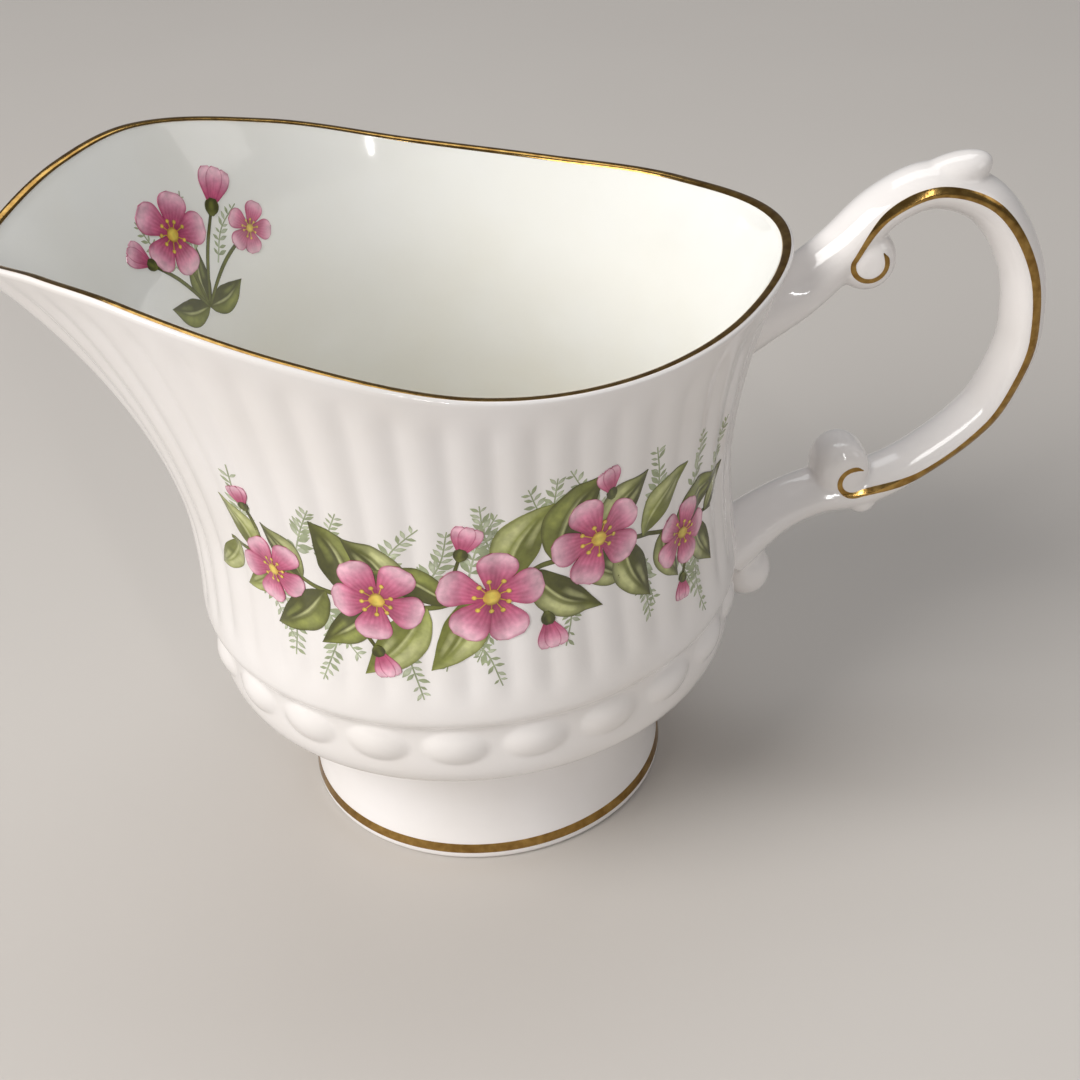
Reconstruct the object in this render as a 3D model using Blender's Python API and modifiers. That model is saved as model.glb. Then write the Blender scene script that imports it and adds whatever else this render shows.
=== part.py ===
"""Porcelain cream jug: a fluted bowl with a pulled spout on a pedestal foot, with a scroll handle.

The bowl, the foot and the handle are separate castings that are luted together, and the gold lines
are laid on afterwards. Sizes are in millimetres and become metres where a mesh is made. The origin is
the middle of the jug's box on the surface it stands on: +X runs to the handle, -X to the spout.
"""
import bisect
import math

import bmesh
import bpy
from mathutils import Matrix

MM = 0.001
GAP = 0.3                     # clearance between two pieces that touch on the real jug

# --- driving dimensions --------------------------------------------------------------------------
BODY_X = -12.3                # the bowl's axis, from the middle of the jug's length
FOOT_R = 27.0                 # outer radius of the foot at its base
JOINT_Z = 18.0                # height where the bowl is luted to the foot
NECK_R = 25.6                 # radius of the foot at that joint
WALL = 2.6                    # thickness of the bowl's wall, which thins towards the rim
RIM_HALF = 0.8                # half the thickness of the rim
WAIST_R = 37.0                # radius of the bowl at its waist
FLARE_Z = 36.0                # height where the wall starts to flare towards the rim
SEGMENTS = 88                 # sides of the bowl, four to each bead

# --- bowl ----------------------------------------------------------------------------------------
# The middle of the rim's edge: angle from the handle, radius, height.
RIM = ((0, 47.3, 83.5), (30, 43.3, 82.4), (60, 40.0, 82.4), (90, 40.1, 85.4), (120, 43.4, 92.1),
       (145, 48.9, 97.2), (160, 52.8, 97.0), (170, 56.4, 95.3), (180, 60.5, 92.6))
# The round lower bowl: height, radius, from the ledge over the bead band and the bulge to the waist.
LOWER = ((24.4, 37.0), (25.8, 37.8), (28.0, 38.2), (31.2, 38.2), (34.4, 38.5), (36.0, 39.0),
         (40.0, 39.0), (46.0, 38.3), (54.0, 37.4), (66.0, WAIST_R), (98.0, WAIST_R))
UNDERSIDE = ((JOINT_Z + GAP, NECK_R), (21.2, 30.0), (23.4, 34.9))
BEAD_COUNT = 22
BEAD_Z = 31.2
BEAD_HALF_HEIGHT = 3.2
BEAD_RISE = 0.8
BEAD_PHASE = math.radians(-83.7)   # one bead sits at this angle, beside the middle of the front
FLOOR_Z = 24.0                     # height of the bowl's floor inside
FLOOR_PROFILE = ((24.3, 12.0), (25.6, 22.0), (29.0, 29.5), (34.0, 33.6))
LIP_ROUND = 0.5                    # how far the rim's top edge is rounded in

# --- foot ----------------------------------------------------------------------------------------
FOOT_OUTER = ((JOINT_Z, NECK_R), (14.0, 25.0), (9.5, 25.1), (5.5, 25.9), (2.6, 26.7), (0.9, FOOT_R),
              (0.0, 26.5))
FOOT_INNER = ((0.0, 23.9), (0.9, 23.3), (6.0, 22.2), (JOINT_Z, 21.6))
FOOT_SEGMENTS = 64

# --- handle, in the plane y = 0, from the bowl's axis ---------------------------------------------
# Middle line of the loop: x, z, half thickness in the plane. It starts and ends inside the wall.
LOOP = ((42.0, 71.5, 5.4), (49.0, 73.8, 4.4), (54.6, 78.0, 3.8), (60.8, 84.2, 3.0), (67.9, 86.6, 3.3),
        (75.9, 83.0, 3.4), (81.2, 73.4, 3.3), (82.1, 62.9, 3.2), (80.4, 56.6, 3.1), (76.5, 49.8, 3.0),
        (67.4, 43.0, 2.9), (59.5, 39.7, 3.6), (52.0, 39.3, 3.6), (45.6, 36.9, 3.9), (38.0, 31.4, 4.8))
HANDLE_WIDTH_RATIO = 1.32     # width across the loop's plane over the thickness in it
LOOP_POINTS = 56
# Round features: name, x, z, radius in x, in y and in z.
HANDLE_BOSSES = (("thumb_rest", 72.4, 88.0, 3.7, 3.4, 2.9), ("upper_curl", 58.3, 77.5, 4.3, 4.1, 4.6),
                 ("lower_lobe", 55.8, 43.4, 4.2, 3.9, 4.2), ("end_bead", 41.4, 27.2, 4.1, 4.1, 4.3))

# --- gold ----------------------------------------------------------------------------------------
LINE_R = 0.35                 # half width of a gold line on the rim and the handle
HANDLE_LINE_Y = 5.5           # how far the handle's gold line stands from the middle plane
# The line's curls: centre x and z, radius, and the angles in degrees where each starts and ends.
UPPER_CURL = (58.9, 77.6, 3.0, 42.0, -180.0)
LOWER_CURL = (57.5, 40.7, 2.2, 280.0, 50.0)
CURL_STEPS = 6
LINE_KEYS = slice(3, 11)      # the keys of LOOP that the line follows between its curls
FOOT_BAND_Z = (1.4, 2.7)      # lower and upper edge of the foot's gold band
BAND_THICK = 0.35


def smooth_value(keys, position, column):
    """Cubic through the keys' given column, at a position along their first column."""
    places = [key[0] for key in keys]
    values = [key[column] for key in keys]
    last = len(keys) - 1
    index = min(max(bisect.bisect_right(places, position) - 1, 0), last - 1)
    span = places[index + 1] - places[index]

    def slope(at):
        before = max(at - 1, 0)
        after = min(at + 1, last)
        return (values[after] - values[before]) / (places[after] - places[before])

    t = (position - places[index]) / span
    start = values[index]
    end = values[index + 1]
    leave = slope(index) * span
    arrive = slope(index + 1) * span
    return (start * (2 * t**3 - 3 * t**2 + 1) + leave * (t**3 - 2 * t**2 + t)
            + end * (3 * t**2 - 2 * t**3) + arrive * (t**3 - t**2))


def mirrored_keys(keys):
    """The rim's keys carried past both ends, so that its curve is level at the handle and the spout."""
    before = [(-key[0], *key[1:]) for key in reversed(keys[1:])]
    after = [(360 - key[0], *key[1:]) for key in reversed(keys[:-1])]
    return before + list(keys) + after


RIM_ROUND = mirrored_keys(RIM)


def rim_at(angle):
    """Radius and height of the rim at an angle in radians from the handle."""
    degrees = abs(math.degrees(math.remainder(angle, math.tau)))
    return smooth_value(RIM_ROUND, degrees, 1), smooth_value(RIM_ROUND, degrees, 2)


def wall_rise(angle, z):
    """How far up the flared wall a height is: 0 where the flare starts, 1 at the rim."""
    return max((z - FLARE_Z) / (rim_at(angle)[1] - FLARE_Z), 0.0)


def wall_radius(angle, z):
    """Radius of the bowl's smooth outside: round below, flaring with the square of height above."""
    rise = wall_rise(angle, z)
    return smooth_value(LOWER, z, 1) + (rim_at(angle)[0] - WAIST_R) * rise**2 + RIM_HALF * rise**6


def inner_radius(angle, z):
    """Radius of the bowl's inside, where the wall thins evenly from its flare up to the rim."""
    return wall_radius(angle, z) - WALL + (WALL - 2 * RIM_HALF) * wall_rise(angle, z)


def bead_rise(angle, z):
    """How far the bead band's oval bosses stand out of the wall."""
    across = abs(math.cos((angle - BEAD_PHASE) * BEAD_COUNT / 2))
    along = 1.0 - ((z - BEAD_Z) / BEAD_HALF_HEIGHT) ** 2
    return BEAD_RISE * across * max(along, 0.0)


def outer_point(angle, z, grow=0.0):
    radius = wall_radius(angle, z) + bead_rise(angle, z) + grow
    return radius * math.cos(angle), radius * math.sin(angle), z


def outer_heights(angle):
    """Heights of the bowl's outer rings at one angle, from the ledge to just under the rim."""
    fixed = [24.4, 25.8, 28.0, 29.6, 31.2, 32.8, 34.4, 36.0, 40.0, 45.0]
    top = rim_at(angle)[1] - LIP_ROUND
    return fixed + [45.0 + (top - 45.0) * share for share in (0.25, 0.5, 0.75, 0.9, 1.0)]


def round_ring(radius, z):
    step = math.tau / SEGMENTS
    return [(radius * math.cos(i * step), radius * math.sin(i * step), z) for i in range(SEGMENTS)]


def bowl_outer_rings(grow=0.0):
    rings = [round_ring(radius + grow, z) for z, radius in UNDERSIDE]
    angles = [i * math.tau / SEGMENTS for i in range(SEGMENTS)]
    columns = [[outer_point(angle, z, grow) for z in outer_heights(angle)] for angle in angles]
    return rings + [list(ring) for ring in zip(*columns)]


def rim_ring(outset):
    """A ring on the rim's flat top, so far outside the middle of its edge."""
    ring = []
    for i in range(SEGMENTS):
        angle = i * math.tau / SEGMENTS
        radius, z = rim_at(angle)
        ring.append(((radius + outset) * math.cos(angle), (radius + outset) * math.sin(angle), z))
    return ring


def bowl_inner_rings():
    """The inside of the bowl, from just under the rim down to the edge of its floor."""
    rings = []
    for share in (1.0, 0.88, 0.7, 0.5, 0.3, 0.12):
        ring = []
        for i in range(SEGMENTS):
            angle = i * math.tau / SEGMENTS
            z = 40.0 + (rim_at(angle)[1] - LIP_ROUND - 40.0) * share
            radius = inner_radius(angle, z)
            ring.append((radius * math.cos(angle), radius * math.sin(angle), z))
        rings.append(ring)
    rings += [round_ring(radius, z) for z, radius in reversed(FLOOR_PROFILE)]
    return rings


def collection(name):
    made = bpy.data.collections.new(name)
    bpy.context.scene.collection.children.link(made)
    return made


def shade_round(mesh, sharp_degrees=45.0):
    mesh.shade_smooth()
    mesh.set_sharp_from_angle(angle=math.radians(sharp_degrees))


def closed_stack(name, rings, bottom, top, group):
    """One closed body through a stack of equal rings, capped by a point below and a point above."""
    form = bmesh.new()
    rows = []
    for ring in rings:
        rows.append([form.verts.new(((x + BODY_X) * MM, y * MM, z * MM)) for x, y, z in ring])
    count = len(rows[0])
    for lower, upper in zip(rows, rows[1:]):
        for i in range(count):
            following = (i + 1) % count
            form.faces.new((lower[i], lower[following], upper[following], upper[i]))
    first = form.verts.new((BODY_X * MM, 0.0, bottom * MM))
    final = form.verts.new((BODY_X * MM, 0.0, top * MM))
    for i in range(count):
        following = (i + 1) % count
        form.faces.new((first, rows[0][following], rows[0][i]))
        form.faces.new((rows[-1][i], rows[-1][following], final))
    mesh = bpy.data.meshes.new(name)
    form.to_mesh(mesh)
    form.free()
    shade_round(mesh)
    made = bpy.data.objects.new(name, mesh)
    group.objects.link(made)
    return made


def material(name, colour, roughness, metallic):
    made = bpy.data.materials.new(name)
    made.use_nodes = True
    shader = made.node_tree.nodes["Principled BSDF"]
    shader.inputs["Base Color"].default_value = (*colour, 1.0)
    shader.inputs["Roughness"].default_value = roughness
    shader.inputs["Metallic"].default_value = metallic
    return made


def finish(made, finish_material):
    made.data.materials.clear()
    made.data.materials.append(finish_material)


def make_bowl(group, glaze):
    rings = bowl_outer_rings()
    rings += [rim_ring(RIM_HALF - LIP_ROUND), rim_ring(LIP_ROUND - RIM_HALF)]
    rings += bowl_inner_rings()
    made = closed_stack("jug_body", rings, JOINT_Z + GAP, FLOOR_Z, group)
    finish(made, glaze)
    return made


def turned(name, outline, segments, group):
    """A closed ring turned about the bowl's axis: (height, radius) points, outer side first, going down."""
    mesh = bpy.data.meshes.new(name)
    points = [(radius * MM, 0.0, z * MM) for z, radius in outline]
    edges = [(i, (i + 1) % len(points)) for i in range(len(points))]
    mesh.from_pydata(points, edges, [])
    made = bpy.data.objects.new(name, mesh)
    made.location.x = BODY_X * MM
    group.objects.link(made)
    screw = made.modifiers.new("turn", "SCREW")
    screw.steps = segments
    screw.render_steps = segments
    screw.use_merge_vertices = True
    screw.merge_threshold = 0.00001
    screw.use_smooth_shade = True
    return made


def make_foot(group, glaze):
    made = turned("foot", FOOT_OUTER + FOOT_INNER, FOOT_SEGMENTS, group)
    finish(made, glaze)
    return made


def make_foot_gilding(group, gold):
    low, high = FOOT_BAND_Z
    foot_side = sorted(FOOT_OUTER)
    inner = GAP
    outer = GAP + BAND_THICK
    outline = []
    for z, stand_off in ((high, outer), (low, outer), (low, inner), (high, inner)):
        outline.append((z, smooth_value(foot_side, z, 1) + stand_off))
    made = turned("foot_gilding", outline, FOOT_SEGMENTS, group)
    finish(made, gold)
    return made


def mesh_from_curve(curve_object, group):
    """A closed mesh in place of a curve object: its evaluated tube with the caps welded on."""
    bpy.context.view_layer.update()
    evaluated = curve_object.evaluated_get(bpy.context.evaluated_depsgraph_get())
    mesh = bpy.data.meshes.new_from_object(evaluated)
    name = curve_object.name
    mesh.transform(curve_object.matrix_world)
    form = bmesh.new()
    form.from_mesh(mesh)
    bmesh.ops.remove_doubles(form, verts=form.verts, dist=0.00001)
    bmesh.ops.recalc_face_normals(form, faces=form.faces)
    form.to_mesh(mesh)
    form.free()
    bpy.data.objects.remove(curve_object)
    made = bpy.data.objects.new(name, mesh)
    group.objects.link(made)
    return made


def tube(name, points, group, sides=1, closed=False):
    """A curve object along (x, y, z, radius) points, with filled caps."""
    curve = bpy.data.curves.new(name, "CURVE")
    curve.dimensions = "3D"
    curve.bevel_depth = MM
    curve.bevel_resolution = sides
    curve.use_fill_caps = not closed
    spline = curve.splines.new("POLY")
    spline.points.add(len(points) - 1)
    spline.use_cyclic_u = closed
    for point, (x, y, z, radius) in zip(spline.points, points):
        point.co = ((x + BODY_X) * MM, y * MM, z * MM, 1.0)
        point.radius = radius
    made = bpy.data.objects.new(name, curve)
    group.objects.link(made)
    return made


def along(keys, count):
    """Points at even steps on the smooth curve through the keys, measured by the keys' own spacing."""
    places = [0.0]
    for before, after in zip(keys, keys[1:]):
        places.append(places[-1] + math.dist(before[:2], after[:2]))
    placed = [(place, *key) for place, key in zip(places, keys)]
    columns = range(1, len(placed[0]))
    points = []
    for i in range(count):
        place = places[-1] * i / (count - 1)
        points.append(tuple(smooth_value(placed, place, column) for column in columns))
    return points


def join(base, other, operation):
    """Apply one Boolean to the base piece and remove a joined piece; a cutter stays."""
    step = base.modifiers.new("join", "BOOLEAN")
    step.operation = operation
    step.solver = "EXACT"
    step.object = other
    bpy.context.view_layer.update()
    evaluated = base.evaluated_get(bpy.context.evaluated_depsgraph_get())
    mesh = bpy.data.meshes.new_from_object(evaluated)
    base.modifiers.clear()
    base.data = mesh
    if operation == "UNION":
        bpy.data.objects.remove(other)


def boss(name, x, z, radii, group):
    mesh = bpy.data.meshes.new(name)
    form = bmesh.new()
    bmesh.ops.create_uvsphere(form, u_segments=16, v_segments=10, radius=1.0)
    size = Matrix.Diagonal((radii[0] * MM, radii[1] * MM, radii[2] * MM, 1.0))
    place = Matrix.Translation(((x + BODY_X) * MM, 0.0, z * MM))
    form.transform(place @ size)
    form.to_mesh(mesh)
    form.free()
    made = bpy.data.objects.new(name, mesh)
    group.objects.link(made)
    return made


def make_handle(group, cutters, glaze):
    points = [(x, 0.0, z, thickness) for x, z, thickness in along(LOOP, LOOP_POINTS)]
    loop = tube("handle", points, group, sides=4)
    loop.scale.y = HANDLE_WIDTH_RATIO
    made = mesh_from_curve(loop, group)
    for name, x, z, *radii in HANDLE_BOSSES:
        join(made, boss(name, x, z, radii, group), "UNION")
    rings = bowl_outer_rings(GAP)
    wall = closed_stack("bowl_clearance", rings, JOINT_Z, rim_at(0.0)[1], cutters)
    join(made, wall, "DIFFERENCE")
    wall.hide_render = True
    wall.display_type = "WIRE"
    shade_round(made.data, 60.0)
    finish(made, glaze)
    return made


def curl(centre_x, centre_z, radius, start, end):
    """Points on an arc in the handle's plane, between two angles in degrees."""
    points = []
    for step in range(CURL_STEPS + 1):
        angle = math.radians(start + (end - start) * step / CURL_STEPS)
        points.append((centre_x + radius * math.cos(angle), centre_z + radius * math.sin(angle)))
    return points


def handle_line():
    """The gold line's path: the loop's middle line with a curl at either end."""
    middle = [key[:2] for key in LOOP[LINE_KEYS]]
    return curl(*UPPER_CURL) + middle + curl(*LOWER_CURL)


def make_handle_gilding(name, side, group, gold):
    points = [(x, side * HANDLE_LINE_Y, z, LINE_R) for x, z in along(handle_line(), LOOP_POINTS)]
    made = mesh_from_curve(tube(name, points, group), group)
    shade_round(made.data)
    finish(made, gold)
    return made


def make_rim_gilding(group, gold):
    points = []
    for i in range(SEGMENTS):
        angle = i * math.tau / SEGMENTS
        radius, z = rim_at(angle)
        points.append((radius * math.cos(angle), radius * math.sin(angle), z + GAP + LINE_R, LINE_R))
    made = mesh_from_curve(tube("rim_gilding", points, group, closed=True), group)
    shade_round(made.data)
    finish(made, gold)
    return made


def main():
    for old in list(bpy.data.objects):
        bpy.data.objects.remove(old)
    jug = collection("porcelain_cream_jug")
    cutters = collection("cutters")
    glaze = material("glazed_porcelain", (0.86, 0.84, 0.81), 0.08, 0.0)
    gold = material("burnished_gold", (0.42, 0.27, 0.08), 0.25, 1.0)
    make_bowl(jug, glaze)
    make_foot(jug, glaze)
    make_handle(jug, cutters, glaze)
    make_rim_gilding(jug, gold)
    make_foot_gilding(jug, gold)
    make_handle_gilding("handle_gilding_front", -1, jug, gold)
    make_handle_gilding("handle_gilding_back", 1, jug, gold)


main()
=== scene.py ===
"""Looks of the porcelain cream jug: its fine fluted bowl, foot and handle, the gilding and the print.

Lengths are in millimetres from the bowl's axis, as in the CAD, and become metres where a mesh is made.
+X runs to the handle, -X to the spout, and the printed front faces -Y.
"""

import math
import random

import bpy
import numpy as np
from mathutils import Matrix, Vector
from mathutils.bvhtree import BVHTree


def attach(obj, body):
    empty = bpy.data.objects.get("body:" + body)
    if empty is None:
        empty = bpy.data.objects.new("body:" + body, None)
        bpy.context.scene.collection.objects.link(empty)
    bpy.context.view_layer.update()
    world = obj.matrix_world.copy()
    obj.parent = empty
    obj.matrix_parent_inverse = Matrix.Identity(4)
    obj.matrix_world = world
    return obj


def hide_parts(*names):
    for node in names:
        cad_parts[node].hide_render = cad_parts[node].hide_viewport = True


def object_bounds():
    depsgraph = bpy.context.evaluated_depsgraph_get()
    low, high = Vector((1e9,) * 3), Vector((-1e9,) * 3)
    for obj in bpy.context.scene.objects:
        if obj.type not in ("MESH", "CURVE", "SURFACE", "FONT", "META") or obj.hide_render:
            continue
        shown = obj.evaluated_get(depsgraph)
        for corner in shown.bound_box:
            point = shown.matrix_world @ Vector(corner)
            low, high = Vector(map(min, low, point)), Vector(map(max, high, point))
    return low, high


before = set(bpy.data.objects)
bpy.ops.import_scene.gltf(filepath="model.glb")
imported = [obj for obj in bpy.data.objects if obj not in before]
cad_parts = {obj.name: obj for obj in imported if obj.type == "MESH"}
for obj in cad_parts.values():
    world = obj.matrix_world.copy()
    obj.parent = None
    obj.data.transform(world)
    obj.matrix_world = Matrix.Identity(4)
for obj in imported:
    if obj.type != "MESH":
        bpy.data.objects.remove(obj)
CAD_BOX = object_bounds()

MM = 0.001
BODY = "root"
FRONT = math.radians(-90.0)        # angle of the printed front from the handle
BACK = math.radians(90.0)

# --- the CAD's driving shapes, repeated -----------------------------------------------------------
BODY_X = -12.3
WALL = 2.6
RIM_HALF = 0.8
LIP_ROUND = 0.5
WAIST_R = 37.0
FLARE_Z = 36.0
# The rim's middle on one side: degrees from the handle, radius, height.
RIM = ((0, 47.3, 83.5), (30, 43.3, 82.4), (60, 40.0, 82.4), (90, 40.1, 85.4), (120, 43.4, 92.1),
       (145, 48.9, 97.2), (160, 52.8, 97.0), (170, 56.4, 95.3), (180, 60.5, 92.6))
# The handle's middle line, from its upper root to its lower one: x, z, half thickness.
LOOP = ((38.5, 69.8, 6.6), (42.0, 71.0, 5.8), (49.0, 73.7, 4.5), (54.6, 78.0, 3.8), (60.8, 84.2, 3.0),
        (67.9, 86.6, 3.2), (75.9, 83.0, 3.3), (81.2, 73.4, 3.2), (82.1, 62.9, 3.1), (80.4, 56.6, 3.0),
        (76.5, 49.8, 2.9), (67.4, 43.0, 2.8), (59.5, 39.7, 3.3), (52.0, 39.3, 3.5), (45.6, 36.9, 3.8),
        (38.0, 31.4, 4.8))
BEAD_COUNT = 22
BEAD_PHASE = math.radians(-83.7)
BEAD_Z = 31.2

# --- fine shape of the bowl and the foot ----------------------------------------------------------
# The outside before its flare is added: height, radius.
LOWER = ((24.5, 37.1), (25.2, 37.5), (26.4, 37.9), (28.0, 38.1), (31.2, 38.1), (33.8, 38.2), (34.7, 38.45),
         (35.4, 38.95), (36.3, 39.25), (37.6, 39.25), (40.0, 39.0), (46.0, 38.3), (54.0, 37.4),
         (66.0, WAIST_R), (98.0, WAIST_R))
# The underside, from the foot's top out to the bead band: height, radius.
UNDERSIDE = ((18.3, 25.0), (18.8, 26.4), (21.2, 30.0), (23.3, 34.4), (23.9, 36.0), (24.2, 36.8))
# The inside below the wall, from its top in to the middle of the floor: radius, height.
INSIDE_FLOOR = ((36.4, 40.0), (36.1, 38.3), (35.2, 36.0), (33.4, 33.0), (29.4, 28.9), (22.0, 25.6),
                (12.0, 24.3), (0.5, 24.0))
BEAD_HALF_LENGTH = 4.7
BEAD_HALF_HEIGHT = 3.0
BEAD_RISE = 1.0
BEAD_R = 38.5                     # radius of the band that the beads lie on
BEAD_POWER = 1.1
FLUTES = 2 * BEAD_COUNT
FLUTE_DEPTH = 0.34
FLUTE_START_Z = 37.5
FLUTE_FADE = 5.0                  # height over which the flutes begin
FLUTE_TOP_FADE = (7.0, 1.5)       # how far under the rim they start to run out, and are gone
FLUTE_POWER = 1.3                 # over 1 widens the grooves
COLUMNS = 20 * BEAD_COUNT
BEAD_ROWS_Z = (24.5, 38.1, 0.34)  # from, up to and spacing of the close rings round the beads
FADE_ROWS_Z = (38.7, 45.1, 0.7)   # the same where the flutes begin
WALL_RINGS = 66                   # rings from there to the rim, outside
INSIDE_RINGS = 50
LIP_STEPS = 10                    # steps over the rim's rounded edge
INSIDE_WALL_Z = INSIDE_FLOOR[0][1]
UNDERSIDE_RINGS = 12
FLOOR_RINGS = 26
HOLLOW_RINGS = 24
RIM_GOLD_TURN = (62.0, 168.0)     # degrees over the rim's rounded edge, 0 outside and 180 inside
# The foot's outside, and its hollow from the top down: height, radius.
FOOT_OUTER = ((0.0, 26.3), (0.3, 26.8), (0.9, 27.0), (2.6, 26.7), (5.5, 25.9), (9.5, 25.1), (14.0, 24.9),
              (16.6, 25.15), (18.0, 25.65), (18.7, 26.1))
FOOT_INNER = ((18.7, 21.6), (6.0, 22.2), (0.9, 23.3), (0.0, 23.9))
FOOT_BAND_Z = (1.35, 2.75)
FOOT_COLUMNS = 352

# --- handle ---------------------------------------------------------------------------------------
HANDLE_HALF_WIDTH = 4.4
UPPER_SWELL = 0.5                 # share by which the handle widens at its upper root
LOWER_SWELL = 0.25                # the same at its lower root
SECTION_POWER = 1.8               # 2 is an ellipse, less has a ridge along each side
# Round forms on the loop: x, z, radius in x, y and z, tilt in degrees, flatness of the sides (1 is round).
HANDLE_BOSSES = ((69.6, 87.4, 6.8, 3.3, 3.0, -18.0, 1.0), (58.4, 77.4, 4.3, 4.5, 4.6, 0.0, 0.7),
                 (55.9, 43.6, 4.2, 4.1, 4.7, 0.0, 0.6), (59.0, 38.2, 2.6, 3.8, 2.8, 0.0, 0.8),
                 (41.6, 27.0, 3.9, 4.0, 4.4, 0.0, 1.0))
VOXEL = 0.3
MELT_STEPS = 12                   # rounds of smoothing that blend the scrolls into the loop
HANDLE_DEPTH = 0.8                # how far the handle's ends reach into the bowl's wall
# The gold line's curls: centre x and z, radius, and the angles in degrees where each starts and ends.
UPPER_CURL = (58.2, 77.7, 2.4, 40.0, -200.0)
LOWER_CURL = (57.2, 42.4, 2.2, 280.0, 50.0)
CURL_STEPS = 8
LINE_KEYS = slice(4, 12)          # the keys of LOOP that the line follows between its curls
LOOP_CENTRE = (68.0, 65.0)        # x, z
LINE_SHIFT = 0.6                  # how far the line runs outside the loop's middle line
LINE_HALF = 0.68
LINE_LEAST = 0.08                 # its least half width, at its ends
LINE_ROWS = 300
LINE_COLUMNS = 7
CAST_Y = 12.0                     # the line is cast onto the handle from this far to its side
MISS_Y = 3.0                      # and lies here where the cast meets nothing
FILM = 0.05                       # how deep a film sits in the glaze


def srgb(red, green, blue):
    """A linear colour from 0-255 display values."""
    shares = [value / 255.0 for value in (red, green, blue)]
    return tuple(s / 12.92 if s <= 0.04045 else ((s + 0.055) / 1.055) ** 2.4 for s in shares)


# --- curves and surfaces --------------------------------------------------------------------------
def smooth_value(keys, at, column=1):
    """Cubic through the keys' given column, at positions along their first column."""
    table = np.asarray(keys, float)
    places = table[:, 0]
    values = table[:, column]
    at = np.asarray(at, float)
    last = len(places) - 1
    index = np.clip(np.searchsorted(places, at, side="right") - 1, 0, last - 1)
    before = np.clip(np.arange(last + 1) - 1, 0, last)
    after = np.clip(np.arange(last + 1) + 1, 0, last)
    slope = (values[after] - values[before]) / (places[after] - places[before])
    span = places[index + 1] - places[index]
    t = (at - places[index]) / span
    start = values[index] * (2 * t**3 - 3 * t**2 + 1) + slope[index] * span * (t**3 - 2 * t**2 + t)
    end = values[index + 1] * (3 * t**2 - 2 * t**3) + slope[index + 1] * span * (t**3 - t**2)
    return start + end


def smooth_path(keys, count):
    """Even points on the smooth curve through the keys."""
    table = np.asarray(keys, float)
    steps = np.linalg.norm(np.diff(table[:, :2], axis=0), axis=1)
    places = np.concatenate(([0.0], np.cumsum(steps)))
    keyed = np.column_stack((places, table))
    at = np.linspace(0.0, places[-1], count)
    return np.column_stack([smooth_value(keyed, at, column) for column in range(1, keyed.shape[1])])


def smooth_step(low, high, value):
    t = np.clip((value - low) / (high - low), 0.0, 1.0)
    return t * t * (3.0 - 2.0 * t)


RIM_ROUND = ([(-key[0], *key[1:]) for key in reversed(RIM[1:])] + list(RIM)
             + [(360 - key[0], *key[1:]) for key in reversed(RIM[:-1])])


def rim_at(angle):
    """Radius and height of the rim's middle at an angle from the handle."""
    degrees = np.abs((np.degrees(angle) + 180.0) % 360.0 - 180.0)
    return smooth_value(RIM_ROUND, degrees, 1), smooth_value(RIM_ROUND, degrees, 2)


def wall_rise(angle, z):
    return np.maximum((z - FLARE_Z) / (rim_at(angle)[1] - FLARE_Z), 0.0)


def wall_radius(angle, z):
    """Radius of the bowl's outside without its flutes and beads."""
    rise = wall_rise(angle, z)
    return smooth_value(LOWER, z) + (rim_at(angle)[0] - WAIST_R) * rise**2 + RIM_HALF * rise**6


def inner_radius(angle, z):
    return wall_radius(angle, z) - WALL + (WALL - 2 * RIM_HALF) * wall_rise(angle, z)


def relief(angle, z):
    """What the flutes and the bead band add to the bowl's radius."""
    turn = (angle - BEAD_PHASE) * BEAD_COUNT / math.tau
    from_bead = (turn - np.round(turn)) * math.tau / BEAD_COUNT * BEAD_R
    away = (from_bead / BEAD_HALF_LENGTH) ** 2 + ((z - BEAD_Z) / BEAD_HALF_HEIGHT) ** 2
    bead = BEAD_RISE * np.maximum(1.0 - away, 0.0) ** BEAD_POWER
    top = rim_at(angle)[1]
    reach = smooth_step(FLUTE_START_Z, FLUTE_START_Z + FLUTE_FADE, z)
    reach = reach * (1.0 - smooth_step(top - FLUTE_TOP_FADE[0], top - FLUTE_TOP_FADE[1], z))
    wave = np.abs(np.cos((angle - BEAD_PHASE) * FLUTES / 2.0)) ** FLUTE_POWER
    return bead - FLUTE_DEPTH * reach * (1.0 - wave)


def outer_radius(angle, z):
    return wall_radius(angle, z) + relief(angle, z)


def round_points(angle, radius, z):
    angle, radius, z = np.broadcast_arrays(angle, radius, z)
    return np.stack((radius * np.cos(angle), radius * np.sin(angle), z), axis=-1)


# --- meshes ---------------------------------------------------------------------------------------
def to_frame(points):
    """Points in millimetres from the bowl's axis, in the frame's metres."""
    return (np.asarray(points, float) + (BODY_X, 0.0, 0.0)) * MM


def new_piece(name, points, faces, sharp_degrees=40.0):
    mesh = bpy.data.meshes.new(name)
    mesh.from_pydata(to_frame(points).tolist(), [], faces)
    mesh.validate()
    mesh.update()
    mesh.shade_smooth()
    mesh.set_sharp_from_angle(angle=math.radians(sharp_degrees))
    piece = bpy.data.objects.new(name, mesh)
    bpy.context.scene.collection.objects.link(piece)
    return piece


def ring_faces(rows, columns, closed_rows=False):
    """Quads between rings of points that run anticlockwise from above, from the lowest outer ring on."""
    at = np.arange(rows * columns).reshape(rows, columns)
    following = np.roll(at, -1, axis=1)
    if closed_rows:
        low, high = (at, following), (np.roll(at, -1, axis=0), np.roll(following, -1, axis=0))
    else:
        low, high = (at[:-1], following[:-1]), (at[1:], following[1:])
    return np.stack((low[0], low[1], high[1], high[0]), axis=-1).reshape(-1, 4).tolist()


def ride(piece, slot, *materials):
    for finish in materials:
        piece.data.materials.append(finish)
    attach(piece, BODY)


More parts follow.
